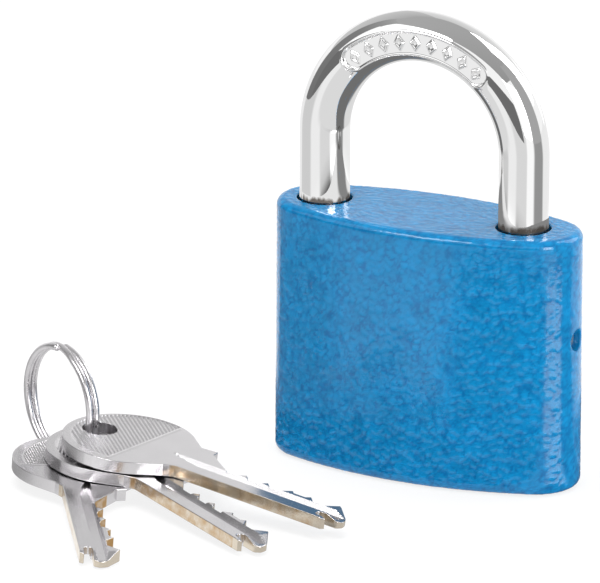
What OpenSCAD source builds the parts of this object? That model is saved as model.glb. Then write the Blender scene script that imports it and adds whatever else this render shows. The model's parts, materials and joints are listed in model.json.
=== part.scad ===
// Oval-bodied keyed padlock with a hardened shackle, its pin-tumbler cylinder,
// and three keys on a split ring lying beside it.
// Origin: centre of the body's flat underside. X runs along the body's width,
// Y through its thickness with the front face at -Y, Z up. Millimetres.

/* [Body] */
// Width of the body
body_w = 52; // [50:0.5:56]
// Thickness of the body at its middle
body_t = 21.5; // [21:0.5:24]
// Height of the body
body_h = 42; // [41:0.5:46]
// Radius of the body's two narrow ends in plan
end_r = 7.4; // [7:0.1:8.4]
// Rounding of the top and bottom edges
edge_r = 1.3; // [0.6:0.1:1.8]

/* [Shackle] */
// Diameter of the shackle rod
rod_d = 8; // [7:0.1:8.4]
// Distance between the centres of the two legs
leg_gap = 34.8; // [34:0.1:35.6]
// Shift of the shackle from the body's middle, towards the toe
shackle_shift = 1; // [0.6:0.1:1.4]
// Straight length of the legs above the body
leg_rise = 11.5; // [5:0.5:40]
// Lift that frees the toe
lift = 11; // [10.8:0.1:11.8]
// Length of the toe leg inside the body
toe_depth = 10.6; // [10.2:0.1:10.7]
// Height of the heel leg's lower end above the body's underside
heel_end = 8.2; // [7.5:0.1:9]
// Radial running gap of the legs in their bores
leg_play = 0.08; // [0.05:0.01:0.1]
// Diameter of the widened mouth of each leg bore
mouth_d = 8.8; // [8.6:0.1:9.4]
// Depth of the widened mouth
mouth_depth = 2.5; // [1:0.1:4]
// Depth of the cuts in the legs for the bolt and the retaining pin
leg_cut = 2; // [1.6:0.1:2.2]
// Width of the sunk panel on the arch's front
panel_w = 4.6; // [3.6:0.1:5.2]
// Depth of the sunk panel's floor from the front of the rod
panel_depth = 0.8; // [0.6:0.05:1]
// First and last angle of the panel around the arch
panel_span = [43, 129]; // [20:1:160]
// Number of raised lozenges in the panel
lozenges = 9; // [5:1:11]
// Height of the lozenges above the panel's floor
lozenge_h = 0.35; // [0.2:0.05:0.5]

/* [Retaining pin] */
// Diameter of the pin that holds the heel leg
heel_pin_d = 3.5; // [3:0.1:3.8]
// Height of that pin in the body's narrow end
heel_pin_z = 24.7; // [24:0.1:25.4]
// Depth of its outer end below the body's surface
heel_pin_sunk = 1.5; // [0.5:0.1:2.5]

/* [Cylinder] */
// Distance of the plug's axis from the body's middle, towards the heel
plug_x = 2; // [1.8:0.1:2.2]
// Diameter of the plug
plug_d = 12; // [11.6:0.1:12.2]
// Diameter of the cylinder's barrel
barrel_d = 16; // [15.6:0.1:16.2]
// Width of the cylinder's pin tower
tower_w = 8; // [7:0.1:9]
// Reach of the pin tower from the plug's axis
tower_reach = 15.4; // [15:0.1:15.6]
// Room between the cylinder and the top of the body, for the cam and the bolt
head_room = 11.7; // [11.4:0.1:11.8]
// Depth of the cylinder's face inside the body's underside
face_sunk = 0.3; // [0.1:0.1:0.6]
// Gap around the cylinder in its pocket
pocket_play = 0.08; // [0.04:0.01:0.12]
// Radial running gap of the plug
plug_play = 0.05; // [0.03:0.01:0.1]
// Diameter of the plug's face flange
flange_d = 13.6; // [13:0.1:14]
// Thickness of the flange
flange_t = 1.2; // [0.8:0.1:1.5]
// Diameter of the cross pin that holds the cylinder
cylinder_pin_d = 2.5; // [2:0.1:2.6]

/* [Pin stacks] */
// Diameter of the pin chambers
chamber_d = 3; // [2.8:0.05:3.1]
// Radial play of the pins in their chambers
pin_play = 0.05; // [0.03:0.01:0.1]
// Distance from the stop tab to the middle of the key's first cut
first_cut = 6.7; // [6.5:0.1:6.9]
// Length of the cylinder past its last chamber's middle
last_room = 6.5; // [6.3:0.1:6.7]
// Length of the driver pins
driver_len = 3.2; // [2.8:0.1:3.6]
// Thickness of the strip that closes the chambers
strip_t = 1; // [0.8:0.1:1.2]

/* [Bolt and cam] */
// Diameter of the bolt
bolt_d = 4; // [3.6:0.1:4.2]
// Depth of the bolt's axis below the top of the body
bolt_depth = 6; // [5.9:0.1:6.1]
// Travel of the bolt
bolt_travel = 1.8; // [1.5:0.1:1.9]
// Diameter of the bolt's head
bolt_head_d = 5.6; // [5.2:0.1:5.8]
// Thickness of the bolt's head
bolt_head_t = 1.5; // [1.2:0.1:1.8]
// Distance of the cam's flank from the plug's axis with the bolt drawn back
cam_reach = 3.6; // [3.5:0.1:3.8]
// Thickness of the cam
cam_t = 4; // [3:0.1:4]

/* [Keys] */
// Thickness of a key
key_t = 2; // [1.8:0.05:2.1]
// Radius of the key's bow
bow_r = 10.7; // [10.4:0.1:10.8]
// Distance from the ring hole to the middle of the bow
bow_off = 5.9; // [5.7:0.1:6.1]
// Diameter of the ring hole
hole_d = 5.6; // [5.5:0.05:5.8]
// Distance from the ring hole to the stop tab's working face
stop_u = 19.1; // [18.9:0.1:19.3]
// Reach of the stop tab from the blade's middle line
tab_reach = 5.9; // [5.5:0.1:6]
// Width of the blade on the plain side of its middle line
blade_back = 3.9; // [3.7:0.1:4]
// Width of the uncut blade on the cut side of its middle line
blade_front = 4.6; // [4.4:0.1:4.7]
// Depth of each cut in the blade, from the stop tab to the tip
cuts = [4, 4.05, 4.05, 3.3, 3.9];
// Half width of each cut's floor
cut_half = 1.1; // [0.9:0.1:1.2]
// Depth of the milled grooves in the blade
groove_depth = 0.7; // [0.4:0.05:0.75]
// Half width and depth of the slot in the tip
tip_slot = [0.72, 4];
// Gap between the key's tip and the end of the keyway
tip_gap = 0.6; // [0.4:0.1:1]

/* [Split ring] */
// Outside radius of the split ring
ring_r = 9.55; // [9.4:0.05:9.6]
// Diameter of its wire
ring_wire = 1.15; // [1:0.05:1.2]

/* [Hidden] */
$fn = 64;
slack = 0.05;                              // gap left between pieces that rest on each other
over = 0.5;                                // reach of a cut past the surface it opens
proud = 0.04;                              // makes a round end cross its sides instead of touching them

// body
end_x = body_w / 2 - end_r;                // centres of the two narrow ends
side_r = (pow(end_x, 2) + pow(body_t / 2, 2) - pow(end_r, 2)) / (body_t - 2 * end_r);
side_y = side_r - body_t / 2;              // centres of the two long sides

// shackle
toe_x = -shackle_shift - leg_gap / 2;
heel_x = -shackle_shift + leg_gap / 2;
arch_r = leg_gap / 2;
arch_z = body_h + leg_rise;
toe_end = body_h - toe_depth;
bore_d = rod_d + 2 * leg_play;
toe_floor = toe_end - 0.4;
heel_floor = 2.5;
neck_low = heel_pin_z - heel_pin_d / 2 - lift - 0.1;   // foot of the heel leg ends here
neck_high = heel_pin_z + heel_pin_d / 2 + 0.3;
heel_pin_in = heel_x + rod_d / 2 - leg_cut + 0.3;      // inner end of the retaining pin

// cylinder
cylinder_len = body_h - face_sunk - head_room;
shell_top = face_sunk + cylinder_len;
pocket_top = shell_top + 0.1;
tower_end = plug_x - tower_reach;
strip_x = tower_end + strip_t;
pin_pitch = (cylinder_len - first_cut - last_room) / 4;
chamber_z = [for (i = [0:4]) face_sunk + first_cut + i * pin_pitch];
strip_w = chamber_d + 1;
strip_low = chamber_z[0] - chamber_d / 2 - 0.2;
strip_high = chamber_z[4] + chamber_d / 2 + 0.2;
shear_r = plug_d / 2;
driver_in = plug_x - shear_r - plug_play - slack;
driver_out = driver_in - driver_len;
cylinder_pin_z = 2.9;
cylinder_pin_in = tower_end + 2.5;
clip_z = shell_top + 0.12;
clip_t = 0.8;
clip_proud = 0.8;                          // how far the circlip stands out of the plug
clip_groove_r = plug_d / 2 - 0.75;
plug_top = clip_z + clip_t + 0.8;

// bolt and cam
bolt_z = body_h - bolt_depth;
chamber_r = plug_d / 2 + clip_proud + 0.4; // room for the circlip and the cam
chamber_top = bolt_z + bolt_head_d / 2 + 0.2;
cam_low = bolt_z - cam_t / 2;
cam_per_deg = bolt_travel / 90;
bolt_face = plug_x - cam_reach - slack;
bolt_nose = toe_x + bore_d / 2 + slack;
spring_seat = plug_x - chamber_r - 3.4;
spring_bore_d = bolt_head_d + 0.2;
tail_d = 5.6;
tail_flat = 4.2;
boss_d = 6.2;
plug_rest = 90;                            // the plug stands a quarter turn from locked

// keys
key_reach = stop_u + cylinder_len - tip_gap;       // from the ring hole to the tip
key_middle_p = (blade_front - blade_back) / 2;     // puts the keyway in the middle of the plug
key_play = 0.12;
top_groove = [-1.5, 0.5];                  // across the blade, from its middle line
under_groove = [-3.2, -2];
groove_start = 13.9;
groove_run = 6.5;
neck_near = [16.2, -4.9];                  // where the bow's straight necks end
neck_far = [15.9, 5.8];
neck_run = 1.7;                            // from the near neck's end to the blade's plain edge
neck_turn = [-45, 52];                     // where on the bow's rim they begin
tip_peak = 2.5;                            // height of the edge between the last cut and the tip
tip_thin = 1;                              // loss of thickness at the very tip
tip_slope = 2.5;                           // length of that slope
tip_slot_v = -2.5;                         // middle line of the slot in the tip
// the tip's outline from its plain side round to its cut side, measured from its very end
tip_outline = [[-2.1, -blade_back], [-1.8, 0.5 - blade_back], [-0.5, -1.7], [0, -0.9],
               [0, -0.3], [-0.4, 0.5]];

// The pile lies in front of the body's narrow end. Each key has its ring hole's place from
// the ring's foot, on the key's upper face, then its tilts and heading; each key lies on
// the bow of the one below.
pile_beyond = 26.56;
pile_front = 13.83;
ring_rest = 0.33;
bottom_key_off = [4.11, -2.85, 1.55];
middle_key_off = [7.03, -2.92, 1.67];
top_key_off = [9.08, -4.39, 1.84];
ring_foot = [-body_w / 2 - pile_beyond, -body_t / 2 - pile_front, ring_rest];
ring_at = ring_foot + [0, 0, ring_r];
ring_turn = -29.43;
bottom_key_at = ring_foot + bottom_key_off + [0, 0, key_t];
bottom_key_turn = [-2.99, 2.07, -57.48];
middle_key_at = ring_foot + middle_key_off + [0, 0, 2 * key_t];
middle_key_turn = [-1.91, 4.18, -29.1];
top_key_at = ring_foot + top_key_off + [0, 0, 3 * key_t];
top_key_turn = [-1.15, 5.43, -10.2];

// ---- helpers ----

// A closed tube swept along points, each ring square to the path
function unit(v) = v / norm(v);
function path_dir(path, i) =
    unit(path[min(i + 1, len(path) - 1)] - path[max(i - 1, 0)]);
function ring_at_point(path, i, r, sides, side) =
    let (d = path_dir(path, i), a = unit(cross(d, side)), b = cross(a, d))
    [for (k = [0:sides - 1])
        path[i] + r * (cos(360 * k / sides) * a + sin(360 * k / sides) * b)];

module wire(path, d, sides, side) {
    n = len(path);
    points = [for (i = [0:n - 1]) each ring_at_point(path, i, d / 2, sides, side)];
    walls = [for (i = [0:n - 2]) for (k = [0:sides - 1])
        let (l = (k + 1) % sides)
        [i * sides + k, (i + 1) * sides + k, (i + 1) * sides + l, i * sides + l]];
    first = [for (k = [0:sides - 1]) k];
    last = [for (k = [sides - 1:-1:0]) (n - 1) * sides + k];
    polyhedron(points, concat(walls, [first, last]), convexity = 8);
}

// A compression spring standing on z = 0, its end turns closed
module coil_spring(outer_d, wire_d, height, turns, steps, sides) {
    r = (outer_d - wire_d) / 2;
    n = turns * steps;
    rise = height - wire_d;
    close = wire_d * 1.08;                 // rise of each closed end turn
    function climb(t) =
        t < 1 ? close * t :
        t > turns - 1 ? rise - close * (turns - t) :
        close + (rise - 2 * close) * (t - 1) / (turns - 2);
    path = [for (i = [0:n])
        let (t = i / steps) [r * cos(360 * t), r * sin(360 * t), wire_d / 2 + climb(t)]];
    wire(path, wire_d, sides, [0, 0, 1]);
}

module tube_x(x0, x1, d, z, y = 0) {
    translate([x0, y, z]) rotate([0, 90, 0]) cylinder(d = d, h = x1 - x0);
}

// ---- body ----

// A disc with rounded rims; the body's outline is made of four of them
module rounded_disc(r) {
    rotate_extrude($fn = 128) {
        square([r - edge_r, body_h]);
        translate([0, edge_r]) square([r, body_h - 2 * edge_r]);
        for (z = [edge_r, body_h - edge_r]) translate([r - edge_r, z]) circle(edge_r);
    }
}

// Long sides of a large radius between two narrow ends of a small one
module body_block() {
    cut_x = end_x + end_r * end_x / (side_r - end_r);
    intersection() {
        translate([0, side_y, 0]) rounded_disc(side_r);
        translate([0, -side_y, 0]) rounded_disc(side_r);
        translate([-cut_x, -body_t, 0]) cube([2 * cut_x, 2 * body_t, body_h]);
    }
    for (s = [-1, 1]) translate([s * end_x, 0, 0]) rounded_disc(end_r + proud);
}

module cylinder_plan(play) {
    translate([plug_x, 0]) circle(d = barrel_d + 2 * play);
    translate([tower_end - play, -tower_w / 2 - play])
        square([tower_reach, tower_w + 2 * play]);
}

module case() {
    color("#1a86bf") difference() {
        body_block();
        translate([0, 0, -over]) linear_extrude(pocket_top + over) cylinder_plan(pocket_play);
        translate([plug_x, 0, pocket_top - over])
            cylinder(r = chamber_r, h = chamber_top - pocket_top + over);
        tube_x(toe_x, plug_x, bolt_d + 2 * pin_play, bolt_z);
        tube_x(spring_seat, plug_x, spring_bore_d, bolt_z);
        for (leg = [[toe_x, toe_floor], [heel_x, heel_floor]]) translate([leg[0], 0, 0]) {
            translate([0, 0, leg[1]]) cylinder(d = bore_d, h = body_h);
            translate([0, 0, body_h - mouth_depth]) cylinder(d = mouth_d, h = mouth_depth + over);
        }
        tube_x(heel_x, body_w / 2 + over, heel_pin_d, heel_pin_z);
        tube_x(-body_w / 2 - over, tower_end, cylinder_pin_d, cylinder_pin_z);
    }
}

module shackle_retaining_pin() {
    color("silver") tube_x(heel_pin_in, body_w / 2 - heel_pin_sunk, heel_pin_d - 0.04, heel_pin_z);
}

module cylinder_retaining_pin() {
    color("silver")
        tube_x(-body_w / 2 + slack, cylinder_pin_in, cylinder_pin_d - 0.04, cylinder_pin_z);
}

// ---- shackle ----

// Front of the arch: a sunk panel with round ends, carrying a row of plain lozenges
module arch_band(r0, r1, y0, y1, a0, a1) {
    translate([-shackle_shift, y1, arch_z]) rotate([90, 0, 0])
        rotate([0, 0, a0]) rotate_extrude(angle = a1 - a0, $fn = 128)
            translate([r0, 0]) square([r1 - r0, y1 - y0]);
}

module on_arch(a) {
    translate([-shackle_shift, 0, arch_z]) rotate([0, -a, 0]) translate([arch_r, 0, 0]) children();
}

module shackle() {
    front = -rod_d / 2;
    floor_y = front + panel_depth;
    step = (panel_span[1] - panel_span[0]) / (lozenges + 1);
    color("#c9ccd0") {
        difference() {
            union() {
                translate([-shackle_shift, 0, arch_z]) rotate([90, 0, 0])
                    rotate_extrude(angle = 180, $fn = 128) translate([arch_r, 0]) circle(d = rod_d);
                for (leg = [[toe_x, toe_end], [heel_x, heel_end]]) {
                    translate([leg[0], 0, leg[1]]) cylinder(d1 = rod_d - 2, d2 = rod_d, h = 1);
                    translate([leg[0], 0, leg[1] + 1]) cylinder(d = rod_d, h = arch_z - leg[1] - 1);
                }
            }
            arch_band(arch_r - panel_w / 2, arch_r + panel_w / 2, front - over, floor_y,
                      panel_span[0], panel_span[1]);
            for (a = panel_span) on_arch(a)
                translate([0, floor_y, 0]) rotate([90, 0, 0])
                    cylinder(d = panel_w + 2 * proud, h = panel_depth + over);
            // notch for the bolt in the toe leg
            tube_x(toe_x + rod_d / 2 - leg_cut, toe_x + rod_d, bolt_d + 0.4, bolt_z);
            // flat on the heel leg that lets it rise past the retaining pin
            translate([heel_x + rod_d / 2 - leg_cut, -rod_d, neck_low])
                cube([rod_d, 2 * rod_d, neck_high - neck_low]);
            // groove round the heel leg that lets it swivel on the pin once lifted
            translate([heel_x, 0, neck_low]) difference() {
                cylinder(d = 2 * rod_d, h = heel_pin_d + 0.4);
                translate([0, 0, -1]) cylinder(d = rod_d - 2 * leg_cut, h = heel_pin_d + 3);
            }
        }
        for (i = [1:lozenges]) on_arch(panel_span[0] + i * step)
            translate([0, floor_y + 0.05, 0]) rotate([90, 0, 0])
                linear_extrude(lozenge_h + 0.05)
                    polygon([[1.3, 0], [0, 0.85], [-1.3, 0], [0, -0.85]]);
    }
}

module shackle_spring() {
    color("gray") translate([heel_x, 0, heel_floor + slack])
        coil_spring(rod_d - 1.4, 0.9, heel_end - heel_floor - 2 * slack, 5, 16, 8);
}

// ---- cylinder ----

module cylinder_shell() {
    color("#b8963e") difference() {
        translate([0, 0, face_sunk]) linear_extrude(cylinder_len) cylinder_plan(0);
        translate([plug_x, 0, 0]) cylinder(d = plug_d + 2 * plug_play, h = body_h);
        translate([plug_x, 0, 0]) cylinder(d = flange_d + 0.2, h = face_sunk + flange_t + slack);
        for (z = chamber_z) tube_x(tower_end - over, plug_x, chamber_d, z);
        translate([tower_end - over, -strip_w / 2 - 0.02, strip_low - 0.02])
            cube([strip_t + over, strip_w + 0.04, strip_high - strip_low + 0.04]);
        tube_x(tower_end - over, cylinder_pin_in + 0.1, cylinder_pin_d, cylinder_pin_z);
    }
}

module chamber_strip() {
    color("#c8a24a") translate([tower_end, -strip_w / 2, strip_low])
        cube([strip_t, strip_w, strip_high - strip_low]);
}

module driver_pin(i) {
    color("silver") tube_x(driver_out, driver_in, chamber_d - 2 * pin_play, chamber_z[i]);
}

module pin_spring(i) {
    color("gray") translate([driver_out - slack, 0, chamber_z[i]]) rotate([0, -90, 0])
        coil_spring(chamber_d - 0.3, 0.4, driver_out - strip_x - 2 * slack, 6, 10, 6);
}

// Children stand in the plug's own directions: pin chambers towards -X when locked
module in_plug() {
    translate([plug_x, 0, 0]) rotate([0, 0, plug_rest]) children();
}

// Cross-section of the keyway, looking up the plug, grown by its play
module keyway_plan() {
    low = -blade_front + key_middle_p - key_play;
    high = blade_back + key_middle_p + key_play;
    half = key_t / 2 + key_play;
    difference() {
        translate([low, -half]) square([high - low, 2 * half]);
        ward(top_groove, half);
        ward(under_groove, -half);
    }
}

module ward(groove, wall_y) {
    x0 = key_middle_p - groove[1] + key_play;
    w = groove[1] - groove[0] - 2 * key_play;
    depth = groove_depth;
    translate([x0, wall_y - depth]) square([w, 2 * depth]);
}

module plug() {
    color("#c8a24a") in_plug() difference() {
        union() {
            translate([0, 0, face_sunk]) cylinder(d = plug_d, h = plug_top - face_sunk);
            translate([0, 0, face_sunk]) cylinder(d = flange_d, h = flange_t);
            cylinder_between(boss_d, plug_top - over, cam_low - slack);
            intersection() {
                cylinder_between(tail_d, cam_low - over, cam_low + cam_t);
                translate([-tail_flat / 2, -tail_d, 0]) cube([tail_flat, 2 * tail_d, body_h]);
            }
        }
        linear_extrude(shell_top) keyway_plan();
        for (z = chamber_z) tube_x(-plug_d, 0.3, chamber_d, z);
        translate([0, 0, clip_z - 0.03]) difference() {
            cylinder(d = 2 * plug_d, h = clip_t + 0.06);
            translate([0, 0, -1]) cylinder(r = clip_groove_r, h = clip_t + 3);
        }
    }
}

module cylinder_between(d, z0, z1) {
    translate([0, 0, z0]) cylinder(d = d, h = z1 - z0);
}

// Each key pin is as long as its cut is deep, so that all of them end at the shear line
module key_pin(i) {
    point = 0.7;                           // length of its pointed end
    below = 0.2;                           // keeps its flat end inside the round plug
    len = key_middle_p - blade_front + cuts[i] + shear_r - below;
    d = chamber_d - 2 * pin_play;
    color("#b8963e") in_plug() translate([below - shear_r, 0, chamber_z[i]]) rotate([0, 90, 0]) {
        cylinder(d = d, h = len - point);
        translate([0, 0, len - point]) cylinder(d1 = d, d2 = d - 2 * point, h = point);
    }
}

module plug_circlip() {
    outer_r = plug_d / 2 + clip_proud;
    mouth = 7.2;
    color("dimgray") in_plug() translate([0, 0, clip_z]) difference() {
        cylinder(r = outer_r, h = clip_t);
        translate([0, 0, -over]) cylinder(r = clip_groove_r + 0.03, h = clip_t + 2 * over);
        translate([0, -mouth / 2, -over]) cube([2 * outer_r, mouth, clip_t + 2 * over]);
    }
}

// Cam flank: the involute of a circle, so that a flat-faced bolt head moves
// by the same amount for every degree
function cam_flank(turned) =
    let (h = cam_reach + cam_per_deg * turned, slope = cam_per_deg * 180 / PI, a = 180 + turned)
    [h * cos(a) - slope * sin(a), h * sin(a) + slope * cos(a)];

module cam() {
    base_r = cam_reach - 0.25;             // never touches the bolt
    flank = [for (t = [-8:4:96]) cam_flank(t)];
    rest = [for (a = [290:10:520]) [base_r * cos(a), base_r * sin(a)]];
    color("gray") translate([plug_x, 0, cam_low]) difference() {
        linear_extrude(cam_t) polygon(concat(flank, rest));
        rotate([0, 0, plug_rest]) intersection() {
            translate([0, 0, -1]) cylinder(d = tail_d + 0.06, h = cam_t + 2);
            translate([-tail_flat / 2 - 0.03, -tail_d, -1]) cube([tail_flat + 0.06, 2 * tail_d, cam_t + 2]);
        }
    }
}

module toe_bolt() {
    nose = 0.6;                            // bevel of the bolt's end
    color("silver") {
        translate([bolt_nose, 0, bolt_z]) rotate([0, 90, 0])
            cylinder(d1 = bolt_d - 2 * nose, d2 = bolt_d, h = nose);
        tube_x(bolt_nose + nose, bolt_face - bolt_head_t, bolt_d, bolt_z);
        tube_x(bolt_face - bolt_head_t, bolt_face, bolt_head_d, bolt_z);
    }
}

module bolt_return_spring() {
    color("gray") translate([spring_seat + slack, 0, bolt_z]) rotate([0, 90, 0])
        coil_spring(bolt_head_d - 0.2, 0.55, bolt_face - bolt_head_t - spring_seat - 2 * slack,
                    5, 14, 6);
}

// ---- keys and ring ----

// A key in its own directions: ring hole at the origin, blade along X, cuts towards +Y,
// upper face at z = 0
function on_bow(a) = [bow_off + bow_r * cos(a), bow_r * sin(a)];
cut_u = [for (i = [0:4]) stop_u + first_cut + i * pin_pitch];
cut_v = [for (i = [0:4]) blade_front - cuts[i]];

// Where the 45 degree flanks of two neighbouring cuts meet
function cut_peak(i) =
    let (u = (cut_u[i] + cut_u[i + 1] + cut_v[i + 1] - cut_v[i]) / 2)
    [u, cut_v[i] + u - cut_u[i] - cut_half];

// Cut edge from the stop tab to the tip
cut_edge = concat(
    [for (i = [0:4]) each concat(
        [[cut_u[i] - cut_half, cut_v[i]], [cut_u[i] + cut_half, cut_v[i]]],
        i < 4 ? [cut_peak(i)] : [])],
    [[cut_u[4] + cut_half + tip_peak - cut_v[4], tip_peak]]);

module key_plan() {
    difference() {
        union() {
            translate([bow_off, 0]) circle(r = bow_r, $fn = 96);
            polygon(concat(
                [[bow_off, 0], on_bow(neck_turn[0]), neck_near, [neck_near[0] + neck_run, -blade_back]],
                [for (corner = tip_outline) [key_reach, 0] + corner],
                [for (i = [len(cut_edge) - 1:-1:0]) cut_edge[i]],
                [[stop_u, blade_front], [stop_u, tab_reach], neck_far, on_bow(neck_turn[1])]));
        }
        circle(d = hole_d);
        translate([key_reach - tip_slot[1] + tip_slot[0], tip_slot_v]) {
            circle(tip_slot[0]);
            translate([0, -tip_slot[0]]) square([tip_slot[1], 2 * tip_slot[0]]);
        }
    }
}

module key_blank() {
    difference() {
        translate([0, 0, -key_t]) linear_extrude(key_t) key_plan();
        blade_groove(top_groove, groove_start);
        translate([0, 0, -key_t]) mirror([0, 0, 1]) blade_groove(under_groove, groove_start + 1.5);
        translate([key_reach, bow_r, 0]) rotate([90, 0, 0]) linear_extrude(2 * bow_r)
            polygon([[-tip_slope, 0], [over, -tip_thin * (1 + over / tip_slope)], [over, over],
                     [-tip_slope, over]]);
    }
}

// A groove along the blade, running out in a slope towards the bow
module blade_groove(across, start) {
    end = key_reach + over;
    translate([0, across[1], 0]) rotate([90, 0, 0]) linear_extrude(across[1] - across[0])
        polygon([[start, 0], [start + groove_run, -groove_depth], [end, -groove_depth],
                 [end, over], [start, over]]);
}

module lying_key(at, turn) {
    color("#c9c4b8") translate(at) rotate(turn) key_blank();
}

module key_top() { lying_key(top_key_at, top_key_turn); }
module key_middle() { lying_key(middle_key_at, middle_key_turn); }
module key_bottom() { lying_key(bottom_key_at, bottom_key_turn); }

// Two turns of wire side by side; the wire steps across near the top
module split_ring() {
    r = ring_r - ring_wire / 2;
    gap = ring_wire * 1.03;
    steps = 48;
    function across(t) = gap * (min(1, max(0, (t - 0.92) / 0.16)) - 0.5);
    path = [for (i = [1:2 * steps - 1])
        let (t = i / steps, a = 90 + 360 * t)
        [r * cos(a), across(t), r * sin(a)]];
    color("#bfc2c6") translate(ring_at) rotate([0, 0, ring_turn])
        wire(path, ring_wire, 8, [0, 1, 0]);
}

case();
shackle_retaining_pin();
cylinder_retaining_pin();
cylinder_shell();
chamber_strip();
for (i = [0:4]) {
    driver_pin(i);
    pin_spring(i);
    key_pin(i);
}
plug();
cam();
plug_circlip();
toe_bolt();
bolt_return_spring();
shackle();
shackle_spring();
split_ring();
key_top();
key_middle();
key_bottom();
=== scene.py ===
"""Looks of an oval-bodied padlock in blue hammertone enamel, with a chromed shackle and three keys
on a split ring."""

import itertools
import json

import bpy
import numpy as np
from mathutils import Matrix, Vector


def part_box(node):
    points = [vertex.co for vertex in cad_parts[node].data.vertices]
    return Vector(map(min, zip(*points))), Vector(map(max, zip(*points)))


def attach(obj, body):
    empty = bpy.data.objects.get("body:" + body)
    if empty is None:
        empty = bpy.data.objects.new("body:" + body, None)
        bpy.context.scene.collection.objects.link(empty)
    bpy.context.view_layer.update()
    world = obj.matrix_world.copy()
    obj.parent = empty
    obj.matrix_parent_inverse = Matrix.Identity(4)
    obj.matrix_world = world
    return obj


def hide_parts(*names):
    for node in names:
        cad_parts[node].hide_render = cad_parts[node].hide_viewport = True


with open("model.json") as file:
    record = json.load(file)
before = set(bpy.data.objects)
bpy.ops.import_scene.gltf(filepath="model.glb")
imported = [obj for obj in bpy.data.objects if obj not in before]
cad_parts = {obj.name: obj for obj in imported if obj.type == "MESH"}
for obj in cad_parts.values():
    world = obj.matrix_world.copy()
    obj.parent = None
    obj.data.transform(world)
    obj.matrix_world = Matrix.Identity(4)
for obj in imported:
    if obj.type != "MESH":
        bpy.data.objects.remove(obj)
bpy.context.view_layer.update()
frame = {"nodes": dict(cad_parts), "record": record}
nodes = frame["nodes"]
MM = 0.001
WELD_DIGITS = 4  # decimals of a millimetre


# ---- small helpers ----


def linear(hex_colour):
    """An sRGB hex colour as linear RGBA: c / 12.92 up to 0.04045, else ((c + 0.055) / 1.055) to the
    power 2.4."""
    c = np.array([int(hex_colour[i : i + 2], 16) for i in (1, 3, 5)]) / 255
    c = np.where(c <= 0.04045, c / 12.92, ((c + 0.055) / 1.055) ** 2.4)
    return (*c.tolist(), 1.0)


def add(tree, kind, inputs=None, stops=None, **settings):
    """Adds a shader node: settings are its own properties, inputs maps a socket to a value or to
    what feeds it, and stops are a ramp's (place, hex colour) pairs."""
    made = tree.nodes.new("ShaderNode" + kind)
    for name, value in settings.items():
        setattr(made, name, value)
    for name, value in (inputs or {}).items():
        if isinstance(value, bpy.types.NodeSocket):
            tree.links.new(value, made.inputs[name])
        else:
            made.inputs[name].default_value = value
    if stops:
        band = made.color_ramp
        while len(band.elements) < len(stops):
            band.elements.new(0.5)
        for element, (place, colour) in zip(band.elements, stops):
            element.position, element.color = place, linear(colour)
    return made


def new_material(name):
    """An empty material: (material, tree)."""
    made = bpy.data.materials.new(name)
    made.use_nodes = True
    made.node_tree.nodes.clear()
    return made, made.node_tree


def grid_faces(rows, columns, closed=False):
    """Quads between neighbouring rows and columns of a grid of points; closed joins the last column
    to the first."""
    i = np.arange(rows - 1)[:, None] * columns
    j = np.arange(columns if closed else columns - 1)[None, :]
    k = (j + 1) % columns
    return np.stack([i + j, i + k, i + columns + k, i + columns + j], -1).reshape(-1, 4)


def join(parts):
    """Stacks (points, quads, paint) patches into one list of points, quads and paint."""
    shift = np.cumsum([0] + [len(points) for points, _, _ in parts[:-1]])
    return (
        np.concatenate([points for points, _, _ in parts]),
        np.concatenate([quads + s for (_, quads, _), s in zip(parts, shift)]),
        np.concatenate([np.broadcast_to(paint, len(points)) for points, _, paint in parts]),
    )


def make_piece(name, parts, material, body, replaced=(), sharp=None):
    """One mesh from patches in millimetres. Points that agree to a ten-thousandth of a millimetre
    are made one, so that patches meet without a seam; faces that lose corners to this become
    triangles or go."""
    points, quads, paint = join(parts)
    _, first, same = np.unique(
        np.round(points, WELD_DIGITS), axis=0, return_index=True, return_inverse=True
    )
    points, paint, quads = points[first], paint[first], same.reshape(-1)[quads]
    keep = quads != np.roll(quads, 1, axis=1)
    keep[keep.sum(1) < 3] = False
    corners, sizes = quads[keep], keep.sum(1)
    sizes = sizes[sizes > 0]
    mesh = bpy.data.meshes.new(name)
    mesh.vertices.add(len(points))
    mesh.vertices.foreach_set("co", (points * MM).astype(np.float32).ravel())
    mesh.loops.add(len(corners))
    mesh.loops.foreach_set("vertex_index", corners.astype(np.int32))
    mesh.polygons.add(len(sizes))
    mesh.polygons.foreach_set("loop_start", (np.cumsum(sizes) - sizes).astype(np.int32))
    mesh.update(calc_edges=True)
    layer = mesh.attributes.new("paint", "FLOAT", "POINT")
    layer.data.foreach_set("value", paint.astype(np.float32))
    mesh.validate()
    mesh.polygons.foreach_set("use_smooth", np.ones(len(mesh.polygons), bool))
    if sharp:
        mesh.set_sharp_from_angle(angle=np.radians(sharp))
    mesh.materials.append(material)
    piece = bpy.data.objects.new(name, mesh)
    bpy.context.scene.collection.objects.link(piece)
    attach(piece, body)
    if replaced:
        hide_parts(*replaced)
    return piece


# ---- camera ----

SENSOR, LENS = 36, 860.598  # millimetres
VIEW_AZIMUTH, VIEW_ELEVATION, VIEW_ROLL = np.radians((26.108, 18.038, 0.355))
VIEW_DISTANCE = 2.27617
VIEW_TARGET = np.array((-0.02265, 0, 0.0255))


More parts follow.
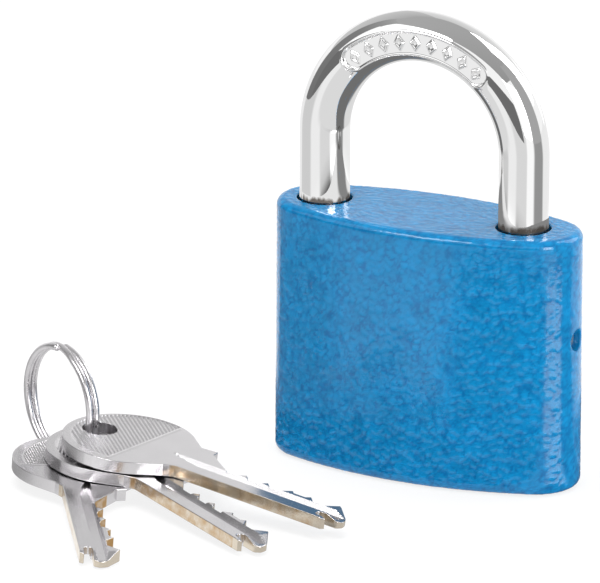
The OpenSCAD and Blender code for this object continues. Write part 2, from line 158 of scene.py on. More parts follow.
def make_camera():
    """A long lens looking down at the front from the right, turned by its roll about the line of
    sight."""
    back = np.array(
        (
            np.sin(VIEW_AZIMUTH) * np.cos(VIEW_ELEVATION),
            -np.cos(VIEW_AZIMUTH) * np.cos(VIEW_ELEVATION),
            np.sin(VIEW_ELEVATION),
        )
    )
    level = np.array((np.cos(VIEW_AZIMUTH), np.sin(VIEW_AZIMUTH), 0))
    upright = np.cross(back, level)
    data = bpy.data.cameras.new("camera")
    data.sensor_width, data.lens = SENSOR, LENS
    data.clip_start, data.clip_end = 0.1, 20
    camera = bpy.data.objects.new("camera", data)
    bpy.context.scene.collection.objects.link(camera)
    place = np.eye(4)
    place[:3, 0] = np.cos(VIEW_ROLL) * level + np.sin(VIEW_ROLL) * upright
    place[:3, 1] = np.cos(VIEW_ROLL) * upright - np.sin(VIEW_ROLL) * level
    place[:3, 2] = back
    place[:3, 3] = VIEW_TARGET + back * VIEW_DISTANCE
    camera.matrix_world = Matrix(place.tolist())
    bpy.context.scene.camera = camera


make_camera()

# ---- light, floor and studio cards ----


def make_world():
    """Plain light all round, and a white background where it is seen straight or in a gloss."""
    world = bpy.data.worlds.new("studio")
    bpy.context.scene.world = world
    world.use_nodes = True
    tree = world.node_tree
    tree.nodes.clear()
    rays = add(tree, "LightPath")
    straight = add(
        tree,
        "Math",
        {0: rays.outputs["Is Camera Ray"], 1: rays.outputs["Is Transmission Ray"]},
        operation="MAXIMUM",
    )
    seen = add(
        tree,
        "Math",
        {0: straight.outputs[0], 1: rays.outputs["Is Glossy Ray"]},
        operation="MAXIMUM",
    )
    plain = add(tree, "Background", {"Color": linear("#ffffff"), "Strength": 0.5})
    white = add(tree, "Background", {"Color": linear("#ffffff"), "Strength": 1.0})
    both = add(tree, "MixShader", {0: seen.outputs[0], 1: plain.outputs[0], 2: white.outputs[0]})
    add(tree, "OutputWorld", {"Surface": both.outputs[0]})


make_world()


def around(bearing, height, distance):
    """A place in metres by its bearing in degrees from the front towards the right, its height
    and its distance."""
    b = np.radians(bearing)
    return np.array((np.sin(b) * distance, -np.cos(b) * distance, height))


def softbox(name, place, size, power, aim=(0, 0, 0.045), mirrored=True):
    """A soft lamp turned to the object; unless told not to, it is seen as a bright patch in a
    gloss."""
    data = bpy.data.lights.new(name, "AREA")
    data.shape = "RECTANGLE"
    data.size, data.size_y = size
    data.energy = power
    lamp = bpy.data.objects.new(name, data)
    bpy.context.scene.collection.objects.link(lamp)
    lamp.location = place
    lamp.rotation_mode = "QUATERNION"
    lamp.rotation_quaternion = (Vector(aim) - Vector(place)).to_track_quat("-Z", "Y")
    lamp.visible_glossy = mirrored


softbox("softbox_right", around(56, 0.23, 0.62), (0.34, 0.42), 1.5)
softbox("softbox_back", around(140, 0.55, 0.6), (0.42, 0.72), 2.6)
softbox("softbox_over", (-0.2, -0.1, 1.3), (1.2, 1.0), 16.0, mirrored=False)


# Slant of the sight line, as Layer Weight gives it, between which a card goes over from its steep
# level to its low one
SLANT = (0.64, 0.68)


def stage_card(name, points, faces, level, steep=None, one_sided=False, tint="#ffffff"):
    """A card of the studio, there for reflections and nothing else: it glows at its level, a number
    or one for each point. Seen steeply it may glow at a second level; a one-sided one is clear
    from behind."""
    mesh = bpy.data.meshes.new(name)
    mesh.from_pydata(np.asarray(points, float).tolist(), [], np.asarray(faces).tolist())
    card = bpy.data.objects.new(name, mesh)
    bpy.context.scene.collection.objects.link(card)
    made, tree = new_material(name)
    glow = {}
    for layer_name, values in (("low", level), ("steep", level if steep is None else steep)):
        layer = mesh.attributes.new(layer_name, "FLOAT", "POINT")
        layer.data.foreach_set("value", np.broadcast_to(values, len(points)).astype(np.float32))
        read = add(tree, "Attribute", attribute_name=layer_name, attribute_type="GEOMETRY")
        glow[layer_name] = read.outputs["Fac"]
    facing = add(tree, "LayerWeight", {"Blend": 0.5}).outputs["Facing"]
    slant = add(tree, "MapRange", {"Value": facing, 1: SLANT[0], 2: SLANT[1]})
    both = add(
        tree,
        "Mix",
        {0: slant.outputs[0], 2: glow["steep"], 3: glow["low"]},
        data_type="FLOAT",
    )
    surface = add(tree, "Emission", {"Color": linear(tint), "Strength": both.outputs[0]}).outputs[0]
    if one_sided:
        under = add(tree, "NewGeometry").outputs["Backfacing"]
        clear = add(tree, "BsdfTransparent").outputs[0]
        surface = add(tree, "MixShader", {0: under, 1: surface, 2: clear}).outputs[0]
    add(tree, "OutputMaterial", {"Surface": surface})
    mesh.materials.append(made)
    card.visible_camera = card.visible_diffuse = card.visible_shadow = False
    card.visible_transmission = card.visible_volume_scatter = False


def white_floor():
    """The paper floor: white to the camera, in a gloss and through the clear, with a trace of the
    object's shadow; plain paper to all other light."""
    half, z = 3.0, -0.0001
    corners = [(-half, -half, z), (half, -half, z), (half, half, z), (-half, half, z)]
    mesh = bpy.data.meshes.new("white_floor")
    mesh.from_pydata(corners, [], [(0, 1, 2, 3)])
    floor = bpy.data.objects.new("white_floor", mesh)
    bpy.context.scene.collection.objects.link(floor)
    made, tree = new_material("white_paper")
    paper = add(tree, "BsdfPrincipled", {"Base Color": linear("#f4f4f4"), "Roughness": 0.9})
    white = add(tree, "Emission", {"Color": linear("#ffffff"), "Strength": 1.0}).outputs[0]
    path = add(tree, "LightPath").outputs
    seen = add(tree, "Math", {0: path["Is Camera Ray"], 1: path["Is Glossy Ray"]}, operation="ADD")
    seen = add(
        tree,
        "Math",
        {0: seen.outputs[0], 1: path["Is Transmission Ray"]},
        operation="ADD",
        use_clamp=True,
    )
    part = add(tree, "Math", {0: seen.outputs[0], 1: 0.8}, operation="MULTIPLY")
    surface = add(tree, "MixShader", {0: part.outputs[0], 1: paper.outputs[0], 2: white}).outputs[0]
    add(tree, "OutputMaterial", {"Surface": surface})
    mesh.materials.append(made)


def arc_board(name, bearings, distance, levels):
    """A curved board round the object between two bearings; levels maps a height to its glow."""
    count = 25
    b = np.linspace(*bearings, count)
    points = [around(x, height, distance) for height in levels for x in b]
    glow = np.repeat(list(levels.values()), count)
    stage_card(name, points, grid_faces(len(levels), count), glow)


def soft_step(x, edge, width):
    """0 below the edge, 1 above it, with a smooth cubic between."""
    t = np.clip((x - edge) / width + 0.5, 0, 1)
    return t * t * (3 - 2 * t)


def floor_glow():
    """A painted reflection of the floor, which only a gloss sees, by bearing from the camera's side
    (degrees, right positive) and distance (metres): even in front, brighter on the left, painted
    shadow of the object close to it and in two sectors on the right, with a painted lamp strip
    between them. From steeply above it is bright in front and on the left, dim on the right and
    close behind."""
    bearing = np.linspace(-180, 180, 181)
    distance = 0.004 * (3 / 0.004) ** np.linspace(0, 1, 90)
    b, d = np.meshgrid(bearing, distance)
    between = lambda low, high, soft=8: soft_step(b, low, soft) * (1 - soft_step(b, high, soft))
    far = soft_step(d, 0.14, 0.01)
    level = 0.74 + 0.18 * between(-72, -30, 10) - between(-130, -74, 10) * (0.08 + 0.3 * (1 - far))
    level = level + 0.2 * between(-80, -30, 10) * soft_step(d, 0.045, 0.008) * (1 - far)
    # painted shadow of the object, close to it and in front of it
    dim = between(-125, 30) * (1 - soft_step(d, 0.046, 0.008))
    dim = np.maximum(dim, between(-28, 30, 16) * (1 - far))
    level = level * (1 - dim) + 0.06 * dim
    shift = 16 * (1 - far)
    # painted lamp strip: a bright band with no lamp behind it
    strip_from = 16 + shift + 15 * (1 - soft_step(d, 0.045, 0.04))
    strip = soft_step(b, strip_from, 6) * (1 - soft_step(b, 48 + shift, 8))
    level = level + (3.4 - 2.35 * far - level) * strip
    # painted shadow in a sector on the right
    dark = soft_step(b, 48 + shift, 8) * (1 - soft_step(b, 90, 8))
    level = level + (0.17 + 0.15 * far - level) * dark
    behind = np.maximum(soft_step(b, 92, 6), 1 - soft_step(b, -128, 10))
    near = 1 - soft_step(d, 0.055, 0.02)
    level = level * (1 - behind) + behind * ((1.3 - 0.4 * far) * (1 - near) + 0.2 * near)
    to_right = soft_step(b, 48, 8) * (1 - soft_step(b, 100, 12))
    steep = 0.76 - 0.58 * np.maximum(to_right, behind * near)
    turn = np.radians(b + np.degrees(VIEW_AZIMUTH))
    points = np.stack([np.sin(turn) * d, -np.cos(turn) * d, np.full(d.shape, -0.00005)], -1)
    faces = grid_faces(len(distance), len(bearing))
    return points.reshape(-1, 3), faces, level.ravel(), steep.ravel()


def make_stage():
    """White paper floor with what a gloss sees round the object: a painted reflection of the floor
    with the object's painted shadow, a dim low wall on the left and a dim tall one beside it, greys
    on the right and behind, and a ceiling."""
    white_floor()
    stage_card("floor_glow", *floor_glow())
    arc_board("wall_left", (-90, 34), 0.45, {0.0: 0.16, 0.165: 0.16})
    arc_board("wall_far_left", (-102, -70), 0.44, {0.0: 0.18, 0.3: 0.22, 0.62: 0.4})
    arc_board("wall_back_left", (-150, -102), 0.5, {0.16: 0.62, 0.8: 0.45})
    arc_board("wall_back", (158, 210), 0.5, {0.16: 1.0, 0.22: 0.86, 0.36: 0.74, 0.8: 0.62})
    arc_board("wall_right", (73, 117), 0.75, {0.0: 0.4, 1.0: 0.4})
    arc_board("bright_left", (-66, -8), 0.46, {0.19: 1.25, 0.58: 1.25})
    # glowing cards seen only in a gloss: painted lamp highlights, they light nothing
    arc_board("lamp_glint_left", (-38, -6), 0.45, {0.325: 9.0, 0.52: 9.0})
    arc_board("lamp_glint_right", (49, 62), 0.58, {0.12: 11.0, 0.3: 11.0})
    arc_board("bright_behind", (158, 178), 0.48, {0.01: 1.5, 0.15: 1.5})
    ceiling = [(-1.2, -1.2, 1.1), (1.2, -1.2, 1.1), (1.2, 1.2, 1.1), (-1.2, 1.2, 1.1)]
    stage_card("ceiling", ceiling, [(0, 1, 2, 3)], np.array([0.44, 0.31, 0.36, 0.44]))


make_stage()

# ---- materials ----

# On Object coordinates, which are metres, a noise of scale s makes patches about 1000 / s
# millimetres wide, and each step of detail adds patches half as wide.


def painted(tree):
    """The value painted on the points of a piece when its surface was worked out."""
    return add(tree, "Attribute", attribute_name="paint", attribute_type="GEOMETRY").outputs["Fac"]


def make_enamel():
    """Hammertone stove enamel: dried into domed cells with darker paint in the valleys between
    them, under its own clear gloss. It sparkles in small patches where a lamp is mirrored."""
    made, tree = new_material("hammertone_enamel")
    place = add(tree, "TexCoord").outputs["Object"]
    # patches 1.2 mm wide, about one cell, so that the valleys differ
    patch = add(tree, "TexNoise", {"Vector": place, "Scale": 800.0, "Detail": 2.0}).outputs["Fac"]
    patchy = add(tree, "MapRange", {"Value": patch, 1: 0.35, 2: 0.62, 3: 0.35, 4: 1.0})
    valley = add(tree, "Math", {0: 1.0, 1: painted(tree)}, operation="SUBTRACT")
    darker = add(tree, "Math", {0: valley.outputs[0], 1: patchy.outputs[0]}, operation="MULTIPLY")
    cell = add(tree, "Math", {0: 1.0, 1: darker.outputs[0]}, operation="SUBTRACT")
    blues = [(0.0, "#0767a0"), (0.5, "#0b79b1"), (1.0, "#0e85be")]
    tone = add(tree, "ValToRGB", {"Fac": cell.outputs[0]}, blues)
    # clouds 4 mm wide, over a few cells
    cloud = add(tree, "TexNoise", {"Vector": place, "Scale": 260.0, "Detail": 3.0})
    shade = add(tree, "MapRange", {"Value": cloud.outputs["Fac"], 1: 0.3, 2: 0.7, 3: 0.9, 4: 1.08})
    colour = add(
        tree,
        "VectorMath",
        {0: tone.outputs["Color"], "Scale": shade.outputs[0]},
        operation="SCALE",
    )
    # ripples 0.6 mm wide under the gloss
    fine = add(tree, "TexNoise", {"Vector": place, "Scale": 1800.0, "Detail": 2.0})
    bump = add(tree, "Bump", {"Height": fine.outputs["Fac"], "Strength": 0.12, "Distance": 0.0002})
    surface = add(
        tree,
        "BsdfPrincipled",
        {
            "Base Color": colour.outputs[0],
            "Roughness": 0.42,
            "Specular IOR Level": 0.0,
            "Coat Weight": 1.0,
            "Coat IOR": 1.46,
            "Coat Roughness": 0.05,
            "Normal": bump.outputs[0],
        },
    )
    add(tree, "OutputMaterial", {"Surface": surface.outputs[0]})
    return made


def make_chrome():
    """Bright chrome plate on polished steel: a hard mirror, with a painted reflection of the body's
    top: dark brown in fine streaks, and rougher, on the first millimetre or so above the body and
    on the legs below it."""
    made, tree = new_material("polished_chrome")
    place = add(tree, "TexCoord").outputs["Object"]
    height = add(tree, "SeparateXYZ", {0: place}).outputs["Z"]
    # streaks of the painted reflection, 1.1 mm wide and 5 mm long, upright
    stretched = add(tree, "Mapping", {"Vector": place, "Scale": (900.0, 900.0, 200.0)})
    streak = add(tree, "TexNoise", {"Vector": stretched.outputs[0], "Scale": 1.0, "Detail": 4.0})
    # painted reflection of the body's top: full below a height of 42.2 mm, gone above 44.2 mm
    near = add(tree, "MapRange", {"Value": height, 1: 0.0422, 2: 0.0442, 3: 0.75, 4: 0.0})
    mask = add(tree, "Math", {0: near.outputs[0], 1: streak.outputs["Fac"]}, operation="MULTIPLY")
    hard = add(tree, "MapRange", {"Value": mask.outputs[0], 1: 0.22, 2: 0.34, 3: 0.0, 4: 0.8})
    # the brown is the painted reflection of the body's top on the legs
    colour = add(
        tree,
        "MixRGB",
        {"Fac": hard.outputs[0], "Color1": linear("#f4f4f4"), "Color2": linear("#5b4a3a")},
    )
    rough = add(tree, "MapRange", {"Value": hard.outputs[0], 3: 0.03, 4: 0.35})
    surface = add(
        tree,
        "BsdfPrincipled",
        {"Base Color": colour.outputs[0], "Metallic": 1.0, "Roughness": rough.outputs[0]},
    )
    add(tree, "OutputMaterial", {"Surface": surface.outputs[0]})
    return made


def make_key_nickel():
    """Nickel plate on stamped brass keys: satin from tumbling, with a fine grain, and bare brass
    where the cutter or wear has gone through the plate."""
    made, tree = new_material("nickelled_key_brass")
    place = add(tree, "TexCoord").outputs["Object"]
    bare = painted(tree)
    # worn patches 1.4 mm wide, clouds 4.5 mm wide and a grain of 0.4 mm
    cloud = add(tree, "TexNoise", {"Vector": place, "Scale": 700.0, "Detail": 5.0})
    worn = add(tree, "Math", {0: bare, 1: cloud.outputs["Fac"]}, operation="MULTIPLY")
    mask = add(tree, "MapRange", {"Value": worn.outputs[0], 1: 0.22, 2: 0.56, 3: 0.0, 4: 1.0})
    soft = add(tree, "TexNoise", {"Vector": place, "Scale": 220.0, "Detail": 3.0})
    side = add(tree, "MapRange", {"Value": bare, 1: 0.0, 2: 0.2})
    nickel = add(
        tree,
        "MixRGB",
        {"Fac": side.outputs[0], "Color1": linear("#dfdddf"), "Color2": linear("#d9cebd")},
    )
    colour = add(
        tree,
        "MixRGB",
        {"Fac": mask.outputs[0], "Color1": nickel.outputs["Color"], "Color2": linear("#b9935f")},
    )
    grain = add(tree, "TexNoise", {"Vector": place, "Scale": 2600.0, "Detail": 3.0})
    bump = add(
        tree, "Bump", {"Height": grain.outputs["Fac"], "Strength": 0.15, "Distance": 0.00006}
    )
    rough = add(tree, "MapRange", {"Value": soft.outputs["Fac"], 1: 0.3, 2: 0.7, 3: 0.16, 4: 0.26})
    surface = add(
        tree,
        "BsdfPrincipled",
        {
            "Base Color": colour.outputs[0],
            "Metallic": 1.0,
            "Roughness": rough.outputs[0],
            "Normal": bump.outputs[0],
        },
    )
    add(tree, "OutputMaterial", {"Surface": surface.outputs[0]})
    return made


def make_metal(name, dark, light, roughness, scale, turned=None):
    """A plain metal: cloudy between two tones, with a grain of 0.4 mm. A turned part carries the
    rings that a lathe tool leaves instead, 0.35 mm apart, round the axis that the given shift
    brings to the origin."""
    made, tree = new_material(name)
    place = add(tree, "TexCoord").outputs["Object"]
    cloud = add(tree, "TexNoise", {"Vector": place, "Scale": scale, "Detail": 4.0})
    colour = add(tree, "ValToRGB", {"Fac": cloud.outputs["Fac"]}, [(0.35, dark), (0.65, light)])
    low, high = roughness - 0.06, roughness + 0.06
    rough = add(tree, "MapRange", {"Value": cloud.outputs["Fac"], 1: 0.3, 2: 0.7, 3: low, 4: high})
    if turned:
        moved = add(tree, "Mapping", {"Vector": place, "Location": turned})
        marks = add(
            tree,
            "TexWave",
            {"Vector": moved.outputs[0], "Scale": 900.0, "Distortion": 1.2, "Detail": 1.0},
            wave_type="RINGS",
            rings_direction="Z",
        ).outputs["Fac"]
    else:
        grain = add(tree, "TexNoise", {"Vector": place, "Scale": 2500.0, "Detail": 2.0})
        marks = grain.outputs["Fac"]
    bump = add(tree, "Bump", {"Height": marks, "Strength": 0.15, "Distance": 0.00005})
    surface = add(
        tree,
        "BsdfPrincipled",
        {
            "Base Color": colour.outputs["Color"],
            "Metallic": 1.0,
            "Roughness": rough.outputs[0],
            "Normal": bump.outputs[0],
        },
    )
    add(tree, "OutputMaterial", {"Surface": surface.outputs[0]})
    return made


enamel = make_enamel()
chrome = make_chrome()
key_nickel = make_key_nickel()
ring_steel = make_metal("nickelled_ring_steel", "#dddbdd", "#efedef", 0.3, 300.0)
# ground pins and drawn springs are grey with a soft shine, turned brass is yellow
finishes = {
    "body_enamel": enamel,
    "chrome_plate": chrome,
    "pin_steel": make_metal("ground_pin_steel", "#8f9194", "#b5b7ba", 0.28, 400.0),
    "spring_steel": make_metal("drawn_spring_steel", "#7c7d80", "#a2a3a6", 0.3, 500.0),
    "turned_brass": make_metal(
        "turned_brass", "#b8924a", "#d4b069", 0.28, 250.0, turned=(-0.002, 0.0, 0.0)
    ),
    "ring_steel": ring_steel,
    "key_nickel": key_nickel,
}
slot_of = {
    node: entry["slot"] for entry in frame["record"]["materials"] for node in entry.get("nodes", [])
}
for name, piece in nodes.items():
    if slot_of.get(name) in finishes:
        piece.data.materials.clear()
        piece.data.materials.append(finishes[slot_of[name]])

# ---- body: hammertone skin over the case ----

case_high = np.array(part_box("case")[1]) / MM
BODY_HALF, BODY_H = case_high[:2], case_high[2]
END_R = 7.4
EDGE_R = 1.3
END_X = BODY_HALF[0] - END_R
SIDE_R = (END_X**2 + BODY_HALF[1] ** 2 - END_R**2) / (2 * (BODY_HALF[1] - END_R))
SIDE_Y = SIDE_R - BODY_HALF[1]
JOIN = np.arctan2(SIDE_Y, END_X)
LEGS_X = (-18.4, 16.4)
MOUTH_R, BORE_R, MOUTH_DEPTH, BORE_DEPTH = 4.4, 4.08, 2.5, 11.0
HEEL_BORE_SEEN_TO = 20.0
# Height, radius and depth of the holes for the shackle's pin and the cylinder's pin
SHACKLE_PIN_HOLE, CYLINDER_PIN_HOLE = (24.7, 1.75, 2.2), (2.9, 1.25, 1.0)
HOLE_ROOM, HOLE_ROUND = 0.8, 0.25
BOLT_DEPTH, BOLT_HOLE_R, BOLT_HOLE_DEEP, BOLT_HOLE_ROOM = 6.0, 2.2, 1.0, 0.3
PLUG_X = 2.0
POCKET_R, TOWER_REACH, TOWER_HALF = 8.08, 15.48, 4.08
SKIN_STEP = 0.31
CELL_SIZE = 1.25
DOME, WAVE = 0.042, 0.02
# How domed the enamel counts as on the walls of the bores, the pocket and the side holes; the low
# values give them the dark valley blue, painted shade inside these openings, darkest in the side
# holes
BORE_SHADE_PAINT, POCKET_SHADE_PAINT, HOLE_SHADE_PAINT = 0.15, 0.2, 0.0


def outline(turn, inset):
    """The body in plan, by the direction that it faces: x, y = centre + (radius - inset) (cos,
    sin), with the small radius about the two end centres and the large one about the two side
    centres."""
    c, s = np.cos(turn), np.sin(turn)
    end = np.abs(c) > np.cos(JOIN)
    r = np.where(end, END_R, SIDE_R) - inset
    x = np.where(end, np.sign(c) * END_X, 0) + r * c
    y = np.where(end, 0, -np.sign(s) * SIDE_Y) + r * s
    return np.stack([x, y], -1)


def cells(points):
    """Second nearest distance less the nearest, to a set of scattered seeds, one in each cube of a
    grid: it is 0 on the border between two cells and grows towards their middles. The points are
    first pushed about by short waves, so that the borders wander."""
    pushed = points + 0.22 * np.sin(points[:, [1, 2, 0]] * 2.9)
    q = (pushed + 0.13 * np.sin(points[:, [2, 0, 1]] * 5.3)) / CELL_SIZE
    corner = np.floor(q)
    nearest = np.full(len(q), 9.0)
    second = nearest.copy()
    for step in itertools.product((-1, 0, 1), repeat=3):
        cube = corner + step
        mixed = cube @ np.array(
            [[127.1, 269.5, 419.2], [311.7, 183.3, 371.9], [74.7, 246.1, 124.6]]
        )
        seed = cube + np.modf(np.abs(np.sin(mixed) * 43758.5453))[0]
        d = np.linalg.norm(q - seed, axis=1)
        second = np.minimum(second, np.maximum(nearest, d))
        nearest = np.minimum(nearest, d)
    return second - nearest


def swell(points):
    """Slow waves in the enamel: the mean of sines in crossing directions, 3 to 7 mm long."""
    rng = np.random.default_rng(7)
    way = rng.normal(size=(9, 3))
    way *= (2 * np.pi / rng.uniform(3, 7, 9) / np.linalg.norm(way, axis=1))[:, None]
    return np.sin(points @ way.T + rng.uniform(0, 2 * np.pi, 9)).mean(1)


def enamelled(points, normals):
    """Raises each point along its normal by the domes, 1 - exp(-border distance squared / 0.08),
    and the waves."""
    dome = 1 - np.exp(-(cells(points) ** 2) / 0.08)
    return points + normals * (DOME * dome + WAVE * swell(points) - DOME)[:, None], dome


def spaced(a, b, step):
    """Places from a to b, about a step apart."""
    return np.linspace(a, b, int(round(abs(b - a) / step)) + 1)


def make_body():
    """The side wall is the outline carried up a profile with a quarter round at each end; the top
    and the bottom are filled by rings that go over from the outline to the openings. The side
    holes, the heel's bore and the cylinder's pocket are open at their inner ends, behind pins, leg
    and cylinder."""
    turns = np.concatenate(
        [
            np.linspace(a, b, int(round(r * (b - a) / SKIN_STEP)), endpoint=False)
            for a, b, r in (
                (-JOIN, JOIN, END_R),
                (JOIN, np.pi - JOIN, SIDE_R),
                (np.pi - JOIN, np.pi + JOIN, END_R),
                (np.pi + JOIN, 2 * np.pi - JOIN, SIDE_R),
            )
        ]
    )
    round_up = np.linspace(-np.pi / 2, 0, 7)
    straight = spaced(EDGE_R, BODY_H - EDGE_R, SKIN_STEP)[1:-1]
    tilt = np.concatenate([round_up, np.zeros(len(straight)), -round_up[::-1]])
    z = np.concatenate(
        [EDGE_R * (1 + np.sin(round_up)), straight, BODY_H - EDGE_R * (1 + np.sin(round_up[::-1]))]
    )
    inset = EDGE_R * (1 - np.cos(tilt))

    def wall(turn, height, lean, depth):
        """Places and normals on the wall."""
        p = np.concatenate([outline(turn, depth), height[..., None]], -1)
        n = np.stack([np.cos(lean) * np.cos(turn), np.cos(lean) * np.sin(turn), np.sin(lean)], -1)
        return p, n

    columns, rows = len(turns), len(z)
    t, h = np.broadcast_to(turns, (rows, columns)), np.broadcast_to(z[:, None], (rows, columns))
    lean, depth = (np.broadcast_to(a[:, None], t.shape) for a in (tilt, inset))
    p, n = wall(t, h, lean, depth)
    points, dome = enamelled(p.reshape(-1, 3), n.reshape(-1, 3))
    quads = grid_faces(rows, columns, closed=True)
    keep = np.ones(len(quads), bool)
    parts = []

    def side_hole(facing, height, radius, depth):
        """Opens the wall at one narrow end: rings go over from a block of wall points to the hole's
        circle, then round the rim and down the hole."""
        away = (turns - facing + np.pi) % (2 * np.pi) - np.pi
        across = END_R * np.sin(away)
        block_i = np.flatnonzero((np.abs(away) < 1) & (np.abs(across) < radius + HOLE_ROOM))
        block_i = block_i[np.argsort(away[block_i])]
        block_j = np.flatnonzero(np.abs(z - height) < radius + HOLE_ROOM)
        i0, i1, j0, j1 = block_i[0], block_i[-1], block_j[0], block_j[-1]
        inside_i = np.isin(np.arange(columns), block_i[:-1])
        inside_j = (np.arange(rows - 1) >= j0) & (np.arange(rows - 1) < j1)
        keep[(inside_j[:, None] & inside_i[None, :]).ravel()] = False
        loop_i = np.concatenate(
            [block_i[:-1], np.full(j1 - j0, i1), block_i[:0:-1], np.full(j1 - j0, i0)]
        )
        loop_j = np.concatenate(
            [
                np.full(len(block_i) - 1, j0),
                np.arange(j0, j1),
                np.full(len(block_i) - 1, j1),
                np.arange(j1, j0, -1),
            ]
        )
        w, v = across[loop_i], z[loop_j] - height
        angle = np.arctan2(v, w)
        blend = np.linspace(0, 1, 5)[:, None]
        ring_w = w * (1 - blend) + (radius + HOLE_ROUND) * np.cos(angle) * blend
        ring_v = v * (1 - blend) + (radius + HOLE_ROUND) * np.sin(angle) * blend
        turn = facing + np.arcsin(ring_w / END_R)
        q, m = wall(turn, ring_v + height, np.zeros_like(turn), np.zeros_like(turn))
        skin, skin_dome = enamelled(q.reshape(-1, 3), m.reshape(-1, 3))
        parts.append((skin, grid_faces(len(blend), len(w), closed=True), skin_dome))
        last = skin.reshape(len(blend), -1, 3)[-1]
        drop = np.array([0, 0.02, 0.1, HOLE_ROUND, depth])
        reach = np.array([HOLE_ROUND, 0.12, 0.02, 0, 0])
        out = np.sign(np.cos(facing))
        flank = np.stack(
            [
                np.broadcast_to(last[:, 0], (5, len(w))) - out * drop[:, None],
                out * (radius + reach[:, None]) * np.cos(angle),
                np.broadcast_to(height + (radius + reach[:, None]) * np.sin(angle), (5, len(w))),
            ],
            -1,
        )
        flank[0] = last
        # the hole's wall is painted in the darkest valley blue: painted shade
        parts.append((flank.reshape(-1, 3), grid_faces(5, len(w), closed=True), HOLE_SHADE_PAINT))

    side_hole(0, *SHACKLE_PIN_HOLE)
    # this one starts in the edge round, which leaves a seam 0.04 mm wide along its lowest row
    side_hole(np.pi, *CYLINDER_PIN_HOLE)
    parts.append((points, quads[keep], dome))

    def rings(outer, inner, count, level, up):
        """Rings from one loop of places to another in a level plane, enamelled."""
        blend = np.linspace(0, 1, count)[:, None, None]
        flat = outer * (1 - blend) + inner * blend
        q = np.concatenate([flat, np.full(flat.shape[:2] + (1,), level)], -1).reshape(-1, 3)
        skin, skin_dome = enamelled(q, np.broadcast_to([0.0, 0.0, up], q.shape))
        parts.append((skin, grid_faces(count, outer.shape[0], closed=True), skin_dome))
        return skin.reshape(count, -1, 3)[-1]

    rim = outline(turns, EDGE_R)
    middle_x = sum(LEGS_X) / 2
    back = np.flatnonzero(np.sin(turns) > 0)
    cut = back[np.argmin(np.abs(rim[back, 0] - middle_x))]
    front = np.flatnonzero(np.sin(turns) < 0)
    meet = front[np.argmin(np.abs(rim[front, 0] - rim[cut, 0]))]
    across = rim[cut] + (rim[meet] - rim[cut]) * np.linspace(0, 1, 60)[1:-1, None]
    left = np.concatenate([rim[cut : meet + 1], across[::-1]])
    right = np.concatenate([rim[meet:], rim[: cut + 1], across])
    for loop, x, floor_z in (
        (left, LEGS_X[0], BODY_H - BORE_DEPTH),
        (right, LEGS_X[1], HEEL_BORE_SEEN_TO),
    ):
        on_toe = x < 0
        angle = np.arctan2(loop[:, 1], loop[:, 0] - x)
        circle = np.stack([np.cos(angle), np.sin(angle)], -1)
        last = rings(loop, (x, 0) + (MOUTH_R + 0.3) * circle, 32, BODY_H, 1.0)
        past_bolt = np.empty(0)
        if on_toe:
            past_bolt = spaced(
                BODY_H - BOLT_DEPTH + BOLT_HOLE_R + BOLT_HOLE_ROOM,
                BODY_H - BOLT_DEPTH - BOLT_HOLE_R - BOLT_HOLE_ROOM,
                0.2,
            )
        radius = np.array([0, MOUTH_R + 0.12, MOUTH_R + 0.02, MOUTH_R, MOUTH_R, BORE_R])
        radius = np.concatenate([radius, np.full(len(past_bolt) + 1, BORE_R), [0.0]])
        level = BODY_H - np.array([0, 0.03, 0.12, 0.3, MOUTH_DEPTH, MOUTH_DEPTH])
        level = np.concatenate([level, past_bolt, [floor_z, floor_z]])
        if not on_toe:
            radius, level = radius[:-1], level[:-1]
        throat = np.empty((len(radius), len(angle), 3))
        reach = radius[:, None] * np.ones(len(angle))
        if on_toe:
            from_bolt = np.hypot(BORE_R * circle[:, 1], level[:, None] - BODY_H + BOLT_DEPTH)
            reach[(from_bolt < BOLT_HOLE_R) & (circle[:, 0] > 0)] += BOLT_HOLE_DEEP
        throat[..., :2] = (x, 0) + reach[..., None] * circle
        throat[..., 2] = level[:, None]
        throat[0] = last
        faces = grid_faces(len(radius), len(angle), closed=True)
        # the bore's wall is painted darker: painted shade
        parts.append((throat.reshape(-1, 3), faces, BORE_SHADE_PAINT))

    angle = np.arctan2(rim[:, 1], rim[:, 0] - PLUG_X)
    tower = np.minimum(
        TOWER_REACH / np.maximum(-np.cos(angle), 0.1),
        TOWER_HALF / np.maximum(np.abs(np.sin(angle)), 0.02),
    )
    tower = np.where(np.cos(angle) < -0.1, tower, 0)
    way = np.stack([np.cos(angle), np.sin(angle)], -1)
    pocket = (PLUG_X, 0) + np.maximum(POCKET_R, tower)[:, None] * way
    last = rings(rim, pocket, 24, 0.0, -1.0)
    shaft = np.stack([last, last + (0, 0, 0.3), last + (0, 0, 6)])
    # the pocket's wall is painted darker: painted shade
    parts.append((shaft.reshape(-1, 3), grid_faces(3, len(angle), closed=True), POCKET_SHADE_PAINT))
    return make_piece("enamelled_body", parts, enamel, "case", ["case"], sharp=50)


make_body()


